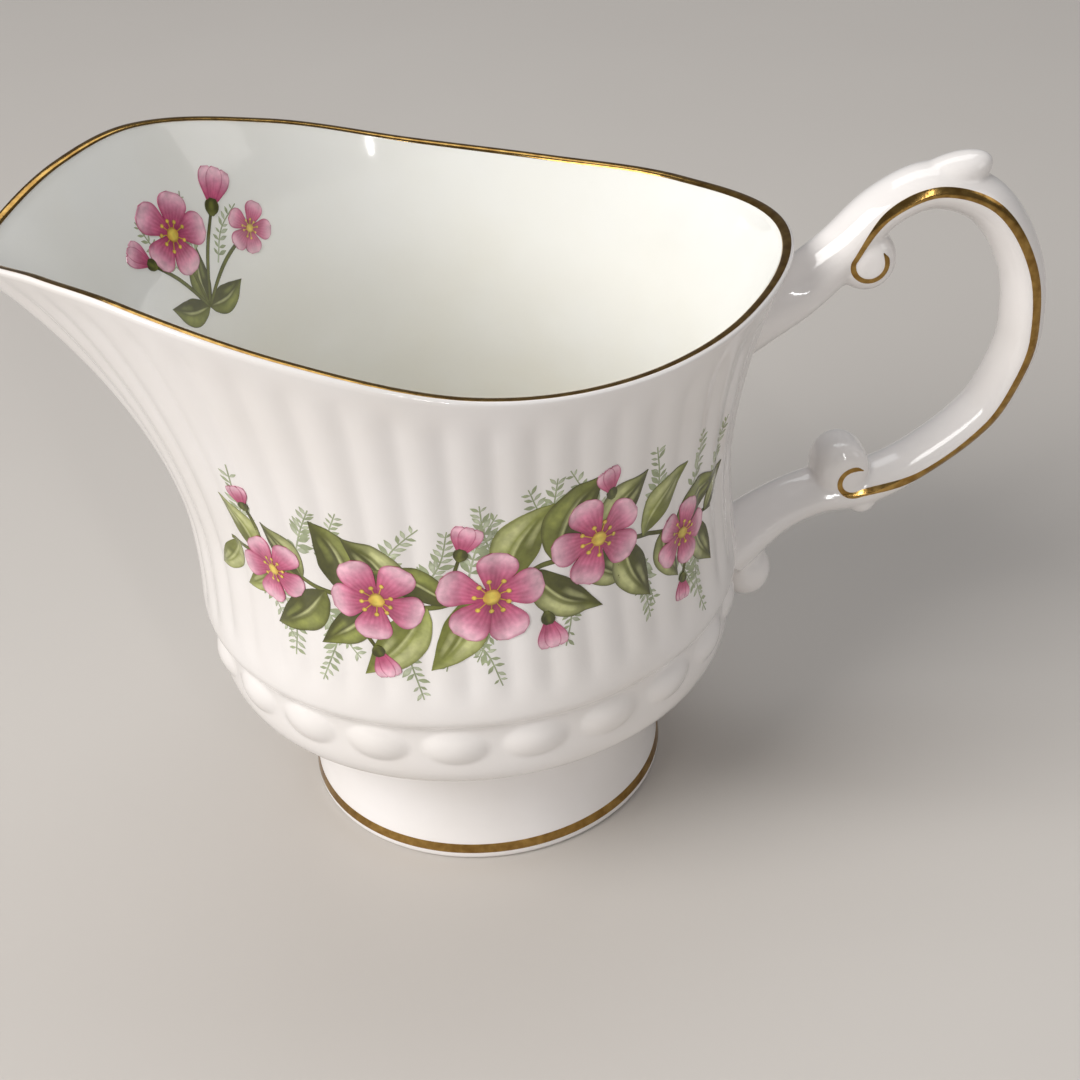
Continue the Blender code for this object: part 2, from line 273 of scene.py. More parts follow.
def even_angles(count):
    return np.arange(count) * math.tau / count


def lip_ring(angles, turn, grow=0.0):
    """A ring on the rim's rounded edge: turn 0 is its outer side, pi / 2 its top and pi its inner side."""
    z = rim_at(angles)[1] - LIP_ROUND
    outer = outer_radius(angles, z)
    inner = inner_radius(angles, z)
    radius = (outer + inner) / 2 + ((outer - inner) / 2 + grow) * math.cos(turn)
    return round_points(angles, radius, z + (LIP_ROUND + grow) * math.sin(turn))


def make_bowl(outside, inside):
    """The bowl as one closed body: underside, ledge, bead band, fluted wall, rim, inside and floor."""
    angles = even_angles(COLUMNS)
    top = rim_at(angles)[1] - LIP_ROUND
    rings = [round_points(angles, radius, z) for z, radius in smooth_path(UNDERSIDE, UNDERSIDE_RINGS)]
    fixed = np.concatenate((np.arange(*BEAD_ROWS_Z), np.arange(*FADE_ROWS_Z)))
    for z in fixed:
        rings.append(round_points(angles, outer_radius(angles, np.full(COLUMNS, z)), z))
    for share in np.linspace(0.0, 1.0, WALL_RINGS + 1)[1:]:
        z = fixed[-1] + (top - fixed[-1]) * share
        rings.append(round_points(angles, outer_radius(angles, z), z))
    for turn in np.linspace(0.0, math.pi, LIP_STEPS + 1)[1:-1]:
        rings.append(lip_ring(angles, turn))
    outer_count = len(rings) - LIP_STEPS // 2
    for share in np.linspace(1.0, 0.0, INSIDE_RINGS):
        z = INSIDE_WALL_Z + (top - INSIDE_WALL_Z) * share
        rings.append(round_points(angles, inner_radius(angles, z), z))
    for radius, z in smooth_path(INSIDE_FLOOR, FLOOR_RINGS)[1:]:
        rings.append(round_points(angles, radius, z))
    rows = len(rings)
    points = np.concatenate(rings)
    faces = ring_faces(rows, COLUMNS)
    low_ring = list(range(COLUMNS))[::-1]
    high_ring = list(range((rows - 1) * COLUMNS, rows * COLUMNS))
    faces += [low_ring, high_ring]
    piece = new_piece("bowl", points, faces, 60.0)
    ride(piece, "porcelain", outside, inside)
    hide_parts("jug_body")
    index = np.zeros(len(piece.data.polygons), np.int32)
    index[outer_count * COLUMNS:] = 1
    index[-2] = 0
    piece.data.polygons.foreach_set("material_index", index)


def turned(name, outline):
    """A closed ring through (height, radius) points, going up the outside and down the inside."""
    angles = even_angles(FOOT_COLUMNS)
    rings = [round_points(angles, radius, z) for z, radius in outline]
    faces = ring_faces(len(rings), FOOT_COLUMNS, closed_rows=True)
    return new_piece(name, np.concatenate(rings), faces, 50.0)


def make_foot(glaze):
    heights = np.concatenate(([0.0, 0.15, 0.3, 0.6, 0.9], np.linspace(1.4, FOOT_OUTER[-1][0], 44)))
    outer = [(z, smooth_value(FOOT_OUTER, z)) for z in heights]
    inner = [tuple(point) for point in smooth_path(FOOT_INNER, HOLLOW_RINGS)]
    piece = turned("foot_ring", outer + inner)
    ride(piece, "porcelain", glaze)
    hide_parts("foot")


def make_foot_gold(gold):
    low, high = FOOT_BAND_Z
    heights = np.linspace(low, high, 9)
    outline = [(z, smooth_value(FOOT_OUTER, z) + FILM) for z in heights]
    outline += [(z, smooth_value(FOOT_OUTER, z) - FILM) for z in heights[::-1]]
    piece = turned("foot_gold", outline)
    ride(piece, "gold", gold)
    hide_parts("foot_gilding")


def make_rim_gold(gold):
    """A thin gold ring over the inner and upper part of the rim's rounded edge."""
    angles = even_angles(COLUMNS)
    turns = np.radians(np.linspace(*RIM_GOLD_TURN, 10))
    rings = [lip_ring(angles, turn, FILM) for turn in turns]
    rings += [lip_ring(angles, turn, -FILM) for turn in turns[::-1]]
    faces = ring_faces(len(rings), COLUMNS, closed_rows=True)
    piece = new_piece("rim_gold", np.concatenate(rings), faces, 60.0)
    ride(piece, "gold", gold)
    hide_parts("rim_gilding")


# --- handle ---------------------------------------------------------------------------------------
def loop_points_and_faces(count=150, sides=40):
    """The loop as a tube of slightly ridged oval section."""
    path = smooth_path(LOOP, count)
    ahead = np.gradient(path[:, :2], axis=0)
    ahead /= np.linalg.norm(ahead, axis=1)[:, None]
    turns = even_angles(sides)
    power = 2.0 / SECTION_POWER
    across = np.sign(np.cos(turns)) * np.abs(np.cos(turns)) ** power
    aside = np.sign(np.sin(turns)) * np.abs(np.sin(turns)) ** power
    along = np.linspace(0, 1, count)
    ends = 1.0 + UPPER_SWELL * smooth_step(0.12, 0.0, along) + LOWER_SWELL * smooth_step(0.9, 1.0, along)
    rings = []
    for (x, z, half), (dx, dz), swell in zip(path, ahead, ends):
        off = across * half
        rings.append(np.stack((x - dz * off, aside * HANDLE_HALF_WIDTH * swell, z + dx * off), axis=-1))
    points = np.concatenate(rings)
    faces = ring_faces(count, sides)
    faces.append(list(range(sides))[::-1])
    faces.append(list(range((count - 1) * sides, count * sides)))
    return points, faces


def boss_points_and_faces(x, z, radius_x, radius_y, radius_z, tilt, flatness, rows=16, columns=32):
    """A rounded form across the loop's plane, an ellipsoid whose two sides may be flattened."""
    lean = math.radians(tilt)
    turns = even_angles(columns)
    rings = []
    for latitude in np.linspace(-math.pi / 2, math.pi / 2, rows + 2)[1:-1]:
        spread = math.cos(latitude) ** flatness
        y = radius_y * math.copysign(abs(math.sin(latitude)) ** flatness, latitude)
        flat_x = radius_x * spread * np.sin(turns)
        flat_z = radius_z * spread * np.cos(turns)
        rings.append(np.stack((x + flat_x * math.cos(lean) + flat_z * math.sin(lean), np.full(columns, y),
                               z + flat_z * math.cos(lean) - flat_x * math.sin(lean)), axis=-1))
    faces = ring_faces(rows, columns)
    faces.append(list(range(columns))[::-1])
    faces.append(list(range((rows - 1) * columns, rows * columns)))
    return np.concatenate(rings), faces


def evaluated_mesh(piece):
    bpy.context.view_layer.update()
    shown = piece.evaluated_get(bpy.context.evaluated_depsgraph_get())
    return bpy.data.meshes.new_from_object(shown)


def make_handle(glaze):
    """The loop and its scrolls melted into one body, its ends fitted to the bowl's wall."""
    points, faces = loop_points_and_faces()
    all_points = [points]
    all_faces = list(faces)
    total = len(points)
    for boss in HANDLE_BOSSES:
        points, faces = boss_points_and_faces(*boss)
        all_points.append(points)
        all_faces += [[index + total for index in face] for face in faces]
        total += len(points)
    piece = new_piece("handle_loop", np.concatenate(all_points), all_faces)
    remesh = piece.modifiers.new("melt", "REMESH")
    remesh.mode = "VOXEL"
    remesh.voxel_size = VOXEL * MM
    smooth = piece.modifiers.new("soften", "SMOOTH")
    smooth.factor = 0.5
    smooth.iterations = MELT_STEPS
    mesh = evaluated_mesh(piece)
    piece.modifiers.clear()
    piece.data = mesh
    count = len(mesh.vertices)
    places = np.zeros(count * 3)
    mesh.vertices.foreach_get("co", places)
    places = places.reshape(-1, 3) / MM - (BODY_X, 0.0, 0.0)
    angle = np.arctan2(places[:, 1], places[:, 0])
    radius = np.hypot(places[:, 0], places[:, 1])
    least = wall_radius(angle, places[:, 2]) - HANDLE_DEPTH
    scale = np.maximum(radius, least) / radius
    places[:, 0] *= scale
    places[:, 1] *= scale
    mesh.vertices.foreach_set("co", to_frame(places).ravel())
    mesh.update()
    mesh.shade_smooth()
    mesh.set_sharp_from_angle(angle=math.radians(60.0))
    ride(piece, "porcelain", glaze)
    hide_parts("handle")
    return piece


def sheet_faces(rows, columns, start_top, start_bottom, flip):
    """Faces of a thin closed film from two grids of points, the second under the first."""
    top = start_top + np.arange(rows * columns).reshape(rows, columns)
    bottom = start_bottom + np.arange(rows * columns).reshape(rows, columns)

    def quads(grid):
        return np.stack((grid[:-1, :-1], grid[1:, :-1], grid[1:, 1:], grid[:-1, 1:]), axis=-1).reshape(-1, 4)

    edge_top = np.concatenate((top[0, :-1], top[:-1, -1], top[-1, :0:-1], top[:0:-1, 0]))
    edge_bottom = np.concatenate((bottom[0, :-1], bottom[:-1, -1], bottom[-1, :0:-1], bottom[:0:-1, 0]))
    sides = np.stack((edge_top, np.roll(edge_top, -1), np.roll(edge_bottom, -1), edge_bottom), axis=-1)
    faces = np.concatenate((quads(top), quads(bottom)[:, ::-1], sides))
    return (faces[:, ::-1] if flip else faces).tolist()


def ribbon_grid(path, halves, columns):
    """Points either side of a path in a plane: rows along it and columns across it."""
    ahead = np.gradient(path, axis=0)
    ahead /= np.maximum(np.linalg.norm(ahead, axis=1), 1e-9)[:, None]
    left = np.stack((-ahead[:, 1], ahead[:, 0]), axis=-1)
    across = np.linspace(-1.0, 1.0, columns)
    return path[:, None, :] + left[:, None, :] * (halves[:, None] * across[None, :])[:, :, None]


def curl(centre_x, centre_z, radius, start, end):
    """Points on an arc in the handle's plane, between two angles in degrees."""
    turns = np.radians(np.linspace(start, end, CURL_STEPS + 1))
    return [(centre_x + radius * math.cos(turn), centre_z + radius * math.sin(turn)) for turn in turns]


def handle_line():
    """The gold line's path: beside the loop's middle line, with a curl at either end."""
    middle = np.array([key[:2] for key in LOOP[LINE_KEYS]])
    outward = middle - LOOP_CENTRE
    outward /= np.linalg.norm(outward, axis=1)[:, None]
    return curl(*UPPER_CURL) + (middle + LINE_SHIFT * outward).tolist() + curl(*LOWER_CURL)


def make_handle_gold(name, node, side, handle, gold):
    """A gold line laid on one side of the handle, following its surface."""
    handle_tree = BVHTree.FromObject(handle, bpy.context.evaluated_depsgraph_get())
    path = smooth_path(handle_line(), LINE_ROWS)
    along = np.linspace(0.0, 1.0, len(path))
    widths = LINE_HALF * (0.55 + 0.45 * smooth_step(0.1, 0.22, along) * smooth_step(0.96, 0.82, along))
    widths *= smooth_step(-0.004, 0.012, along) * smooth_step(1.004, 0.985, along)
    grid = ribbon_grid(path, np.maximum(widths, LINE_LEAST), LINE_COLUMNS)
    top = np.zeros((*grid.shape[:2], 3))
    for row in range(grid.shape[0]):
        for column in range(grid.shape[1]):
            x, z = grid[row, column]
            start = Vector(to_frame((x, side * CAST_Y, z)))
            hit = handle_tree.ray_cast(start, Vector((0.0, -side, 0.0)))[0]
            y = hit.y / MM if hit else side * MISS_Y
            top[row, column] = (x, y, z)
    bottom = top - (0.0, side * FILM, 0.0)
    top = top + (0.0, side * FILM, 0.0)
    count = grid.shape[0] * grid.shape[1]
    points = np.concatenate((top.reshape(-1, 3), bottom.reshape(-1, 3)))
    piece = new_piece(name, points, sheet_faces(grid.shape[0], grid.shape[1], 0, count, side > 0))
    ride(piece, "gold", gold)
    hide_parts(node)


# --- materials ------------------------------------------------------------------------------------
class Nodes:
    """A material's node tree, with short calls for what the finishes below share."""

    def __init__(self, name):
        self.material = bpy.data.materials.new(name)
        self.material.use_nodes = True
        self.tree = self.material.node_tree
        self.shader = self.tree.nodes["Principled BSDF"]
        self.place = self.add("ShaderNodeTexCoord").outputs["Object"]

    def add(self, kind, **settings):
        node = self.tree.nodes.new(kind)
        for key, value in settings.items():
            setattr(node, key, value)
        return node

    def link(self, output, socket):
        self.tree.links.new(output, socket)

    def noise(self, scale, detail=3.0):
        node = self.add("ShaderNodeTexNoise")
        node.inputs["Scale"].default_value = scale
        node.inputs["Detail"].default_value = detail
        self.link(self.place, node.inputs["Vector"])
        return node.outputs["Fac"]

    def ranged(self, value, low, high, start=0.0, end=1.0):
        node = self.add("ShaderNodeMapRange")
        for key, number in (("From Min", start), ("From Max", end), ("To Min", low), ("To Max", high)):
            node.inputs[key].default_value = number
        self.link(value, node.inputs["Value"])
        return node.outputs["Result"]

    def mix(self, share, first, second, blend="MIX"):
        node = self.add("ShaderNodeMix", data_type="RGBA", blend_type=blend)
        self.link(share, node.inputs["Factor"])
        for socket, colour in ((node.inputs[6], first), (node.inputs[7], second)):
            if isinstance(colour, tuple):
                socket.default_value = (*colour, 1.0)
            else:
                self.link(colour, socket)
        return node.outputs[2]

    def bump(self, height, strength, distance):
        node = self.add("ShaderNodeBump")
        node.inputs["Strength"].default_value = strength
        node.inputs["Distance"].default_value = distance
        self.link(height, node.inputs["Height"])
        self.link(node.outputs["Normal"], self.shader.inputs["Normal"])

    def set(self, **values):
        for key, value in values.items():
            self.shader.inputs[key.replace("_", " ")].default_value = value


def glazed(name, pale, warm):
    """Fired white glaze: a hair of warmth in patches, a very slight waviness and a hard gloss."""
    nodes = Nodes(name)
    patches = nodes.ranged(nodes.noise(45.0, 4.0), 0.0, 1.0, 0.35, 0.7)
    nodes.link(nodes.mix(patches, pale, warm), nodes.shader.inputs["Base Color"])
    nodes.link(nodes.ranged(nodes.noise(120.0, 2.0), 0.05, 0.11), nodes.shader.inputs["Roughness"])
    nodes.bump(nodes.noise(260.0, 2.0), 0.05, 0.0004)
    nodes.set(IOR=1.52, Coat_Weight=0.25, Coat_Roughness=0.04)
    return nodes


def porcelain_outside():
    return glazed("porcelain_outside", srgb(238, 234, 232), srgb(233, 228, 224)).material


def porcelain_inside():
    """The inside glaze, tinted by cream towards the bottom with a few faint marks."""
    pale, warm = srgb(241, 241, 238), srgb(238, 237, 231)
    nodes = glazed("porcelain_inside", pale, warm)
    split = nodes.add("ShaderNodeSeparateXYZ")
    nodes.link(nodes.place, split.inputs["Vector"])
    depth = nodes.ranged(split.outputs["Z"], 0.6, 0.0, 0.034, 0.074)
    blotches = nodes.ranged(nodes.noise(60.0, 5.0), 0.25, 1.0, 0.3, 0.62)
    # cream tint, stronger towards the bottom and in blotches
    bottom_cream = nodes.add("ShaderNodeMath", operation="MULTIPLY")
    nodes.link(depth, bottom_cream.inputs[0])
    nodes.link(blotches, bottom_cream.inputs[1])
    base = nodes.shader.inputs["Base Color"].links[0].from_socket
    tinted = nodes.mix(bottom_cream.outputs["Value"], base, srgb(232, 227, 212))
    nodes.link(tinted, nodes.shader.inputs["Base Color"])
    return nodes.material


def worn_gold():
    """Burnished liquid gold: dark in the shade, rubbed brighter in patches."""
    nodes = Nodes("worn_gold")
    rub = nodes.ranged(nodes.noise(700.0, 5.0), 0.0, 1.0, 0.35, 0.7)
    nodes.link(nodes.mix(rub, (0.27, 0.15, 0.04), (0.46, 0.29, 0.09)), nodes.shader.inputs["Base Color"])
    nodes.link(nodes.ranged(nodes.noise(900.0, 4.0), 0.07, 0.24), nodes.shader.inputs["Roughness"])
    nodes.bump(nodes.noise(1500.0, 3.0), 0.12, 0.0001)
    nodes.set(Metallic=1.0)
    return nodes.material


def enamel():
    """The print's colours, which the films carry, under the same gloss as the glaze."""
    nodes = Nodes("print_enamel")
    colour = nodes.add("ShaderNodeAttribute", attribute_name="print_colour").outputs["Color"]
    grain = nodes.ranged(nodes.noise(900.0, 5.0), 0.80, 1.16, 0.3, 0.7)
    wash = nodes.ranged(nodes.noise(260.0, 3.0), 0.86, 1.12, 0.3, 0.7)
    both = nodes.add("ShaderNodeMath", operation="MULTIPLY")
    nodes.link(grain, both.inputs[0])
    nodes.link(wash, both.inputs[1])
    scaled = nodes.add("ShaderNodeVectorMath", operation="SCALE")
    nodes.link(colour, scaled.inputs[0])
    nodes.link(both.outputs["Value"], scaled.inputs["Scale"])
    nodes.link(scaled.outputs["Vector"], nodes.shader.inputs["Base Color"])
    nodes.link(nodes.ranged(nodes.noise(400.0, 2.0), 0.08, 0.16), nodes.shader.inputs["Roughness"])
    nodes.set(IOR=1.52, Coat_Weight=0.25, Coat_Roughness=0.04)
    return nodes.material


def pale_floor():
    nodes = Nodes("pale_floor")
    soft = nodes.noise(6.0, 3.0)
    nodes.link(nodes.mix(soft, srgb(196, 190, 184), srgb(203, 198, 192)), nodes.shader.inputs["Base Color"])
    nodes.link(nodes.ranged(nodes.noise(30.0), 0.5, 0.6), nodes.shader.inputs["Roughness"])
    return nodes.material


# --- print: films -----------------------------------------------------------------------------------
PRINT_R = 38.0                    # radius that turns a distance across the print into an angle
SPRAY_R = 45.0
SPRAY_ANGLE = math.radians(165.0)
CELL = 0.3                        # spacing of a leaf's points
FINE_CELL = 0.2                   # spacing of a petal's or a stroke's points
PETALS = 5
STAMENS = 9
# The garland round the front and the back: a waving stem with flowers, leaves and sprigs in turn.
GARLAND_HALF = 37.0               # how far it runs to either side
GARLAND_Z = 56.5
GARLAND_SWAY = 2.6
GARLAND_WAVES = 1.5
BLOSSOMS = 5
GARLAND_LEAVES = 22
GARLAND_SPRIGS = 26
GARLAND_BUDS = 6
SPRIG_START = 3.5                 # from the garland's stem
SPRIG_LENGTH = (8.5, 12.5)        # shortest and longest
LEAF_LENGTH = (11.0, 14.5)
LEAF_SLIMNESS = (0.2, 0.26)       # half width over length
LEAF_SPREAD = (36, 66)            # degrees from the garland's stem
BUD_STALK = 8.0
BUD_SIZE = 4.6
BLOSSOM_SIZE = 6.8
BLOSSOM_SWING = 1.2               # how far the blossoms sit over and under the stem by turns
# The spray inside the spout: a foot from which its stalks fan out, heading, length and flower size.
SPRAY_FOOT = (14.0, 71.0)
SPRAY_STALKS = ((128, 12.0, 3.6), (96, 11.5, 6.0), (58, 14.5, 4.8), (30, 15.0, 3.8))


def on_front(across, z, lift):
    angle = FRONT + across / PRINT_R
    return round_points(angle, outer_radius(angle, z) + lift, z)


def on_back(across, z, lift):
    angle = BACK + across / PRINT_R
    return round_points(angle, outer_radius(angle, z) + lift, z)


def on_inside(across, z, lift):
    angle = SPRAY_ANGLE - across / SPRAY_R
    return round_points(angle, inner_radius(angle, z) - lift, z)


class Films:
    """Thin films of printed colour on one surface, gathered into one mesh."""

    def __init__(self, name, surface):
        self.name = name
        self.surface = surface
        self.points = []
        self.colours = []
        self.faces = []
        self.total = 0

    def blade(self, keys, widths, paint, lift, cell=CELL):
        """A strip along a curve: widths gives half widths along it, and paint its colours."""
        keys = np.asarray(keys, float)
        length = np.linalg.norm(np.diff(keys, axis=0), axis=1).sum()
        rows = max(int(length / cell), 7)
        path = smooth_path(keys, rows)
        t = np.linspace(0.0, 1.0, rows)
        half = np.maximum(widths(t), 0.03)
        columns = max(int(2 * half.max() / cell) | 1, 5)
        grid = ribbon_grid(path, half, columns)
        s = np.linspace(-1.0, 1.0, columns)
        shade = paint(*np.broadcast_arrays(t[:, None], s[None, :]))
        top = self.surface(grid[..., 0], grid[..., 1], lift)
        bottom = self.surface(grid[..., 0], grid[..., 1], -FILM)
        count = rows * columns
        self.points += [top.reshape(-1, 3), bottom.reshape(-1, 3)]
        self.colours += [shade.reshape(-1, 3)] * 2
        self.faces += sheet_faces(rows, columns, self.total, self.total + count, False)
        self.total += 2 * count

    def make(self, finish):
        piece = new_piece(self.name, np.concatenate(self.points), self.faces, 50.0)
        colours = np.concatenate(self.colours)
        rgba = np.column_stack((colours, np.ones(len(colours)))).astype(np.float32)
        attribute = piece.data.color_attributes.new("print_colour", "FLOAT_COLOR", "POINT")
        attribute.data.foreach_set("color", rgba.ravel())
        ride(piece, "porcelain", finish)


def blend(first, second, share):
    """Two colours, or grids of them, mixed by a share that may be a grid."""
    share = np.clip(np.asarray(share, float), 0.0, 1.0)[..., None]
    return np.asarray(first) * (1.0 - share) + np.asarray(second) * share


def half_widths(shape, half_width):
    """Half widths along a stroke, from its shape's keys."""
    return lambda t: half_width * np.maximum(smooth_value(shape, t), 0.0)


OLIVE_DARK = srgb(66, 66, 22)
OLIVE = srgb(104, 108, 42)
OLIVE_LIGHT = srgb(146, 152, 76)
LEAF_LINE = srgb(196, 198, 140)
MAGENTA = srgb(160, 52, 92)
ROSE = srgb(196, 92, 128)
PINK = srgb(224, 150, 176)
PALE_PINK = srgb(240, 200, 212)
YELLOW = srgb(232, 208, 92)
OCHRE = srgb(206, 160, 66)
BROWN = srgb(150, 92, 44)
FERN = srgb(158, 167, 132)
FERN_PALE = srgb(188, 194, 168)
LEAF_TONES = ((OLIVE_DARK, OLIVE, OLIVE_LIGHT), (OLIVE, OLIVE_LIGHT, LEAF_LINE),
              (OLIVE_DARK, OLIVE, LEAF_LINE))      # dark, body and light of each kind of leaf
# Shapes of the strokes: place along the stroke, and share of its half width there.
LEAF_SHAPE = ((0, 0.06), (0.12, 0.55), (0.4, 1.0), (0.68, 0.78), (0.88, 0.3), (1, 0.0))
BROAD_PETAL = ((0, 0.2), (0.3, 0.62), (0.65, 1.0), (0.88, 0.84), (1, 0.4))
DISC = ((0, 0.25), (0.2, 0.85), (0.5, 1.0), (0.8, 0.85), (1, 0.25))
THREAD = ((0, 0.7), (0.6, 0.8), (1, 1.0))
CALYX = ((0, 0.3), (0.3, 0.9), (0.7, 1.0), (1, 0.45))
STALK = ((0, 0.8), (0.5, 1), (1, 0.7))
SPRIG_STALK = ((0, 1), (1, 0.6))
SPRIG_LEAF = ((0, 0.2), (0.5, 1), (1, 0.1))
STREAKS = 11.0                    # how closely the streaks lie across a petal


def direction(heading):
    """A unit step across the print at a heading in degrees, 90 being up the jug."""
    turn = math.radians(heading)
    return np.array((math.cos(turn), math.sin(turn)))


def glint(t, s, place, start, end, width):
    """How strongly a soft lens-shaped streak along a leaf shows: place is across the leaf."""
    middle = (start + end) / 2
    long = smooth_step(1.0, 0.3, np.abs(t - middle) / ((end - start) / 2))
    return long * smooth_step(width, width * 0.3, np.abs(s - place))


def leaf(films, base, tip, half_width, bend, light_side, tones=LEAF_TONES[0], lift=0.04):
    """A pointed leaf, darker at its root and edges, with a pale midrib and soft light streaks beside it."""
    base, tip = np.array(base, float), np.array(tip, float)
    side = np.array((-(tip - base)[1], (tip - base)[0]))
    middle = (base + tip) / 2 + side * bend
    dark, body, light = tones

    def paint(t, s):
        lit = s * light_side
        colour = blend(dark, body, 0.2 + 0.8 * smooth_step(-0.5, 0.5, lit))
        colour = blend(colour, light, 0.55 * smooth_step(0.1, 0.6, lit) * np.sin(math.pi * t))
        colour = blend(colour, light, 0.9 * glint(t, lit, 0.45, 0.3, 0.78, 0.28))
        colour = blend(colour, light, 0.6 * glint(t, lit, -0.42, 0.42, 0.85, 0.22))
        colour = blend(colour, dark, 0.6 * glint(t, lit, -0.13, 0.05, 0.95, 0.12))
        colour = blend(colour, LEAF_LINE, 0.9 * glint(t, lit, 0.02, 0.0, 0.8, 0.11))
        edge = 0.75 * smooth_step(0.78, 1.0, np.abs(s)) + 0.35 * smooth_step(0.8, 1.0, t)
        return blend(colour, dark, edge)

    films.blade((base, middle, tip), half_widths(LEAF_SHAPE, half_width), paint, lift)


def stroke(films, keys, half_width, colours, lift, shape, rim, shine=None):
    """A brush stroke: colours from its start to its end, a rim colour at its edges and a paler middle."""
    start, middle, end = colours

    def paint(t, s):
        colour = blend(start, middle, smooth_step(0.0, 0.5, t))
        colour = blend(colour, end, smooth_step(0.5, 1.0, t))
        if shine is not None:
            colour = blend(colour, shine, 0.8 * glint(t, s, 0.12, 0.2, 1.0, 0.5))
        return blend(colour, rim, 0.8 * smooth_step(0.5, 1.0, np.abs(s)))

    films.blade(keys, half_widths(shape, half_width), paint, lift, FINE_CELL)


def stem(films, keys, half_width, lift=0.035):
    stroke(films, keys, half_width, (OLIVE, OLIVE, OLIVE_DARK), lift, STALK, OLIVE_DARK)


def broad_petal(films, root, heading, length, half_width, lift):
    """A rounded petal: deep pink at its root, pale towards its tip, with fine streaks along it."""
    step = direction(heading) * length / 2

    def paint(t, s):
        colour = blend(MAGENTA, ROSE, smooth_step(0.0, 0.4, t))
        colour = blend(colour, PINK, smooth_step(0.3, 0.8, t))
        colour = blend(colour, PALE_PINK, 0.7 * smooth_step(0.6, 0.95, t))
        colour = blend(colour, MAGENTA, 0.5 * np.cos(STREAKS * s) ** 2 * smooth_step(0.9, 0.2, t))
        edge = 0.7 * smooth_step(0.84, 1.0, np.abs(s)) + 0.5 * smooth_step(0.93, 1.0, t)
        return blend(colour, MAGENTA, edge)

    keys = (root, root + step, root + 2 * step)
    films.blade(keys, half_widths(BROAD_PETAL, half_width), paint, lift, FINE_CELL)


def dot(films, centre, radius, colours, lift):
    across = np.array((radius, 0.0))
    stroke(films, (centre - across, centre, centre + across), radius, colours, lift, DISC, BROWN)


def blossom(films, centre, size, turn, rng, lift):
    """An open flower: five broad petals round a yellow heart with a ring of stamens."""
    centre = np.array(centre, float)
    for index in range(PETALS):
        heading = turn + 360.0 * index / PETALS + rng.uniform(-6, 6)
        root = centre + direction(heading) * size * 0.08
        broad_petal(films, root, heading, size * rng.uniform(0.88, 1.0), size * 0.4, lift + 0.01 * index)
    top = lift + 0.01 * PETALS
    for index in range(STAMENS):
        step = direction(turn + 360.0 * index / STAMENS + rng.uniform(-8, 8)) * size * rng.uniform(0.3, 0.4)
        keys = (centre, centre + step / 2, centre + step)
        stroke(films, keys, 0.1, (OCHRE, OCHRE, OCHRE), top, THREAD, BROWN)
        dot(films, centre + step, size * 0.05, (OCHRE, YELLOW, OCHRE), top + 0.01)
    dot(films, centre, size * 0.17, (OCHRE, YELLOW, OCHRE), top + 0.02)


def bud(films, root, size, heading, lift):
    """A closed flower: a petal folded over one at either side, held in a green calyx."""
    root = np.array(root, float)
    for index, lean in enumerate((-17, 17, 0)):
        broad_petal(films, root, heading + lean, size, size * 0.24, lift + 0.01 * index)
    step = direction(heading) * size * 0.22
    stroke(films, (root - step, root, root + step), size * 0.2, (OLIVE, OLIVE_DARK, OLIVE_DARK), lift + 0.04,
           CALYX, OLIVE_DARK, OLIVE)


def fern(films, start, end, bend, pairs, seed, leaf_length=1.7, lift=0.03):
    """A pale sprig: a fine stem with small leaves to either side."""
    rng = random.Random(seed)
    start, end = np.array(start, float), np.array(end, float)
    side = np.array((-(end - start)[1], (end - start)[0]))
    keys = (start, (start + end) / 2 + side * bend, end)
    path = smooth_path(keys, pairs + 2)
    tones = (FERN_PALE, FERN, FERN)
    stroke(films, keys, 0.13, tones, lift, SPRIG_STALK, FERN)
    for index in range(1, pairs + 1):
        ahead = path[index] - path[index - 1]
        ahead = ahead / np.linalg.norm(ahead)
        for hand in (-1, 1):
            if rng.random() < 0.12:
                continue
            length = leaf_length * rng.uniform(0.6, 1.1) * (1.15 - 0.6 * index / pairs)
            turn = hand * math.radians(rng.uniform(38, 66))
            way = np.array((ahead[0] * math.cos(turn) - ahead[1] * math.sin(turn),
                            ahead[0] * math.sin(turn) + ahead[1] * math.cos(turn)))
            foot = path[index] + way * 0.15
            tip = foot + way * length
            tone = FERN if rng.random() < 0.6 else FERN_PALE
            leaf_keys = (foot, (foot + tip) / 2, tip)
            stroke(films, leaf_keys, length * 0.2, (tone, tone, FERN), lift, SPRIG_LEAF, FERN)


# --- print: the garlands and the spray --------------------------------------------------------------
def garland_at(share):
    """A point on the garland's stem, 0 at its left end and 1 at its right, and its heading there."""
    phase = math.tau * GARLAND_WAVES * (share - 0.5)
    point = np.array((GARLAND_HALF * (2 * share - 1), GARLAND_Z + GARLAND_SWAY * math.sin(phase)))
    slope = GARLAND_SWAY * math.cos(phase) * math.pi * GARLAND_WAVES / GARLAND_HALF
    return point, math.degrees(math.atan(slope))


def middle_share(index, count):
    return (index + 0.5) / count


def fullness(share):
    """How large things are along the garland: full in the middle and smaller to its ends."""
    return 0.62 + 0.38 * math.sin(math.pi * share)


def garland_sprigs(films, rng):
    for index in range(GARLAND_SPRIGS):
        point, _ = garland_at(middle_share(index, GARLAND_SPRIGS))
        heading = (90 if index % 2 else -90) + rng.uniform(-38, 38)
        start = point + direction(heading) * SPRIG_START
        end = start + direction(heading) * rng.uniform(*SPRIG_LENGTH)
        fern(films, start, end, rng.uniform(-0.14, 0.14), 9, 100 + index, 2.3)


